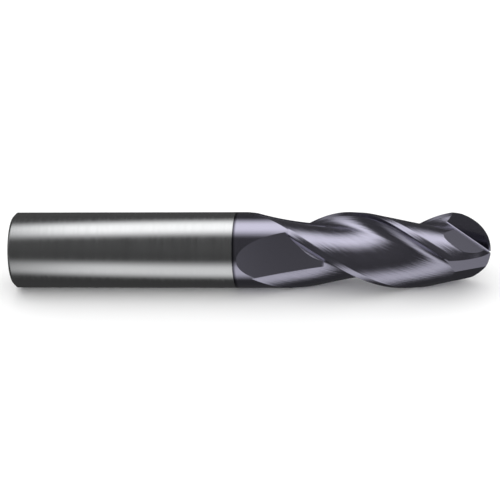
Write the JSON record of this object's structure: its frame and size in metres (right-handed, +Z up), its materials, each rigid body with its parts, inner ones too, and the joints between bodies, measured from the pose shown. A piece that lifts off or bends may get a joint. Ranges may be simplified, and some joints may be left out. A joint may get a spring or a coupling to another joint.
{
  "type": "end mill",
  "caption": "Solid carbide ball-nose end mill: bare ground shank, right-hand helical flutes, dark coating on the cutting half.",
  "frame": {"origin": "centre of the flat end of the shank", "axes": "+X along the tool's axis towards the cutting tip; +Z up as the tool lies"},
  "size_m": [0.076, 0.012, 0.012],
  "materials": {
    "ground_carbide": "fine ground cemented carbide, bright with faint lines around the shank",
    "hard_coating": "dark violet-grey hard film over ground surfaces, smooth and metallic"
  },
  "bodies": {
    "root": {"carbide_body": "ground_carbide", "coating": "hard_coating"}
  },
  "joints": []
}
